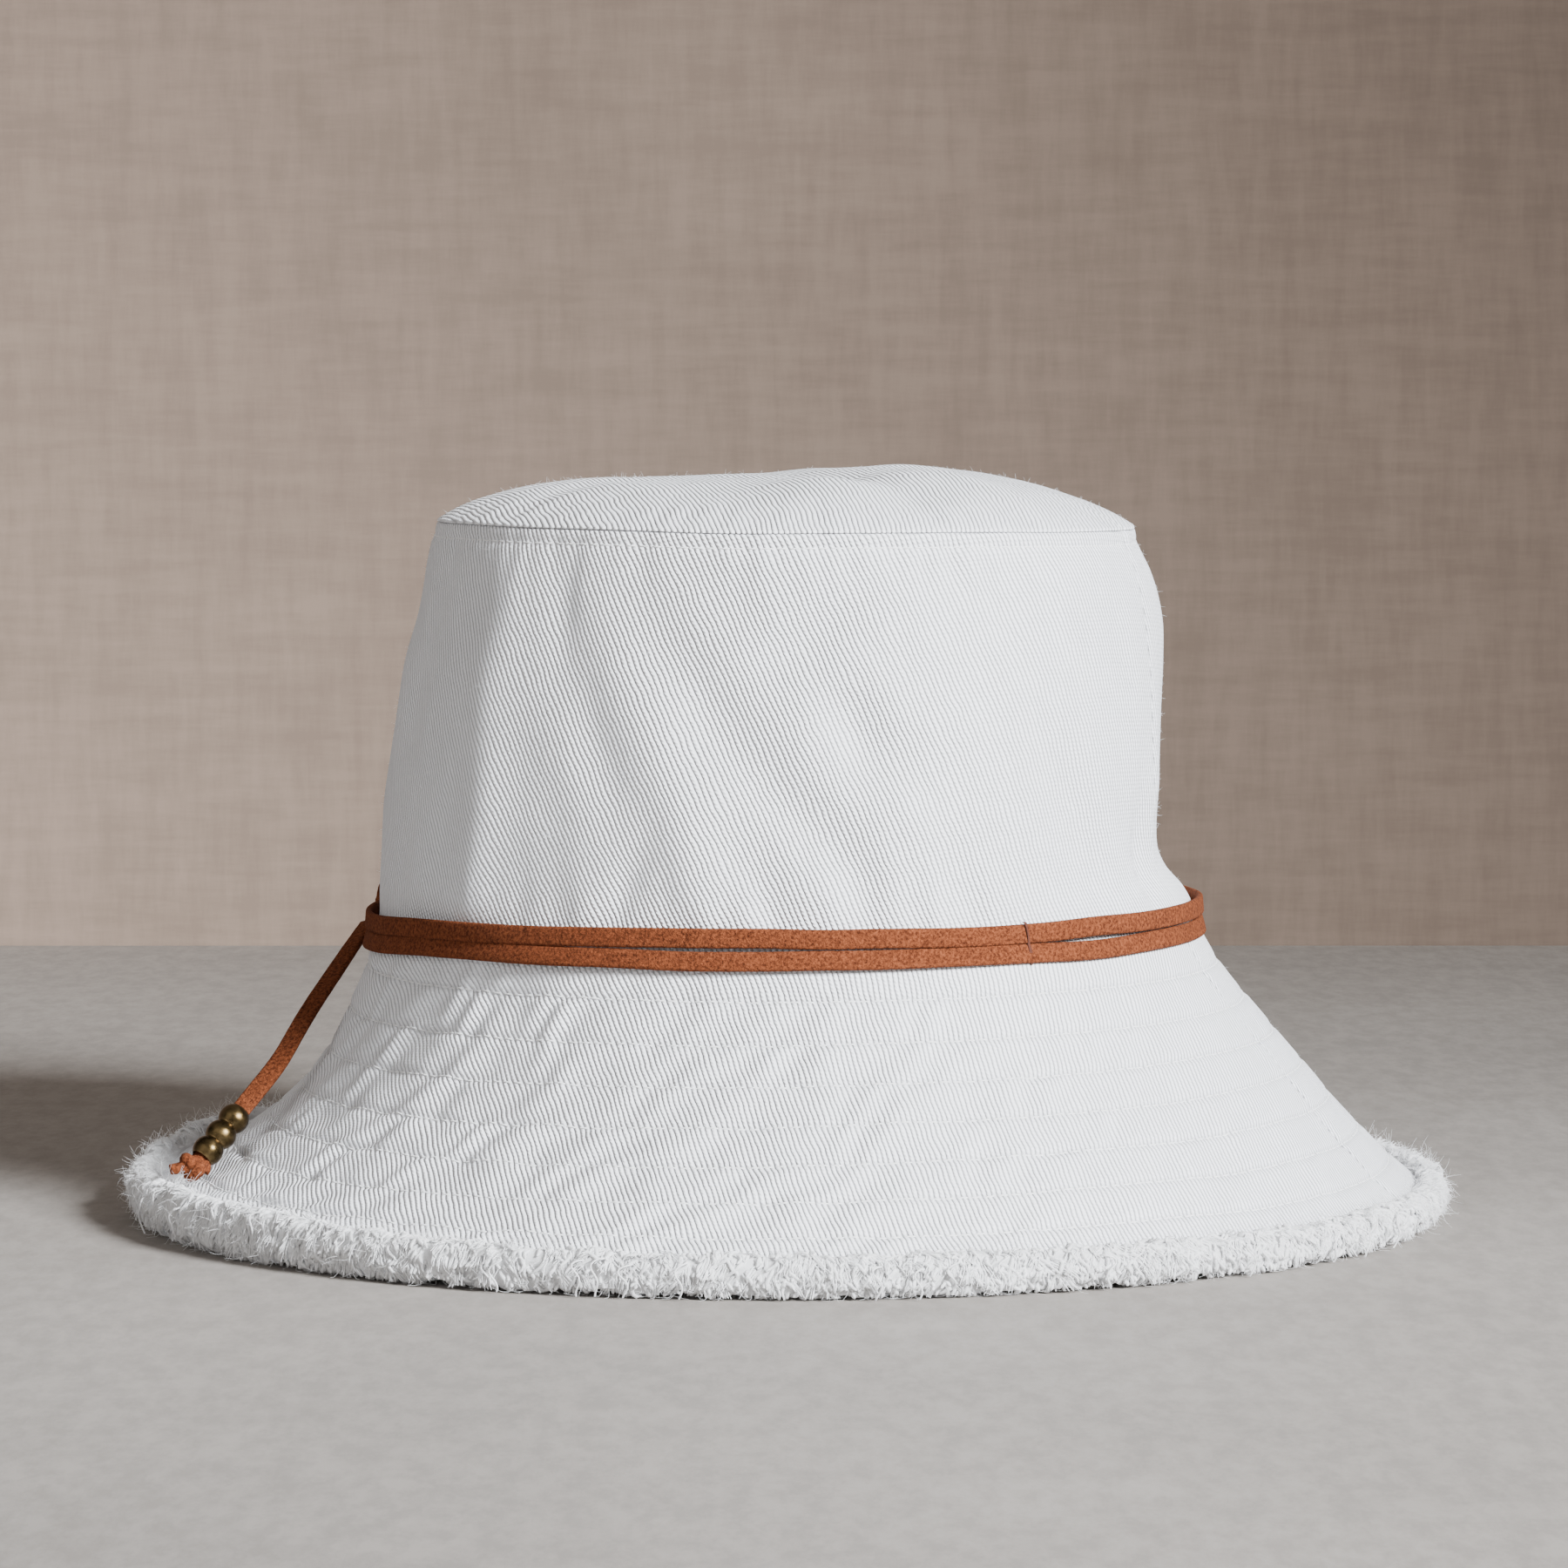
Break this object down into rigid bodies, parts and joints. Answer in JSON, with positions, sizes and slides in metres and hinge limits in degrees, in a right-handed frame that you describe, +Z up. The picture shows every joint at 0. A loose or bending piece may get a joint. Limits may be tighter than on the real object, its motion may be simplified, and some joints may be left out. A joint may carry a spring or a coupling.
{
  "type": "bucket hat",
  "caption": "Bucket hat with a slightly domed crown, a wide stitched flared brim with a frayed edge, and a flat suede cord tied round it whose beaded tail hangs free.",
  "frame": {"origin": "on the floor under the brim, on the crown's axis", "axes": "+Z up through the crown, -Y towards the near side, +X to the right when seen from the near side"},
  "size_m": [0.3112, 0.3112, 0.1713],
  "materials": {
    "twill": "heavy cotton twill",
    "tape": "plain woven tape",
    "fray": "loose cotton yarns",
    "thread": "cotton thread",
    "suede": "suede",
    "tan_thread": "waxed thread",
    "brass": "antiqued"
  },
  "bodies": {
    "hat": {"crown_tip": "twill", "crown_panel_front": "twill", "crown_panel_back": "twill", "tip_seam_tape": "tape", "side_seam_tape_right": "tape", "side_seam_tape_left": "tape", "care_label": "tape", "sweatband": "tape", "brim_upper_front": "twill", "brim_upper_back": "twill", "brim_interfacing": "tape", "brim_under_front": "twill", "brim_under_back": "twill", "frayed_edge_upper": "fray", "frayed_edge_under": "fray", "crown_topstitch": "thread", "brim_stitch_rows": "thread", "cord_upper_turn": "suede", "cord_lower_turn": "suede", "cord_knot": "suede", "cord_cut_end": "suede", "thread_tack_front": "tan_thread", "thread_tack_back": "tan_thread"},
    "tail": {"cord_tail": "suede", "tail_end_knot": "suede"},
    "lower_bead": {"bead_lower": "brass"},
    "middle_bead": {"bead_middle": "brass"},
    "upper_bead": {"bead_upper": "brass"}
  },
  "joints": [
    {"name": "tail_swing", "type": "hinge", "parent": "hat", "child": "tail", "pos_m": [-0.099, 0.0215, 0.0649], "axis": [-0.88, 0.475, 0], "range_deg": [0, 75]},
    {"name": "lower_bead_slide", "type": "slide", "parent": "tail", "child": "lower_bead", "axis": [0.5435, 0.5162, 0.6619], "range_m": [0, 0.005]},
    {"name": "middle_bead_slide", "type": "slide", "parent": "lower_bead", "child": "middle_bead", "axis": [0.5435, 0.5162, 0.6619], "range_m": [0, 0.005]},
    {"name": "upper_bead_slide", "type": "slide", "parent": "middle_bead", "child": "upper_bead", "axis": [0.5435, 0.5162, 0.6619], "range_m": [0, 0.005]}
  ]
}
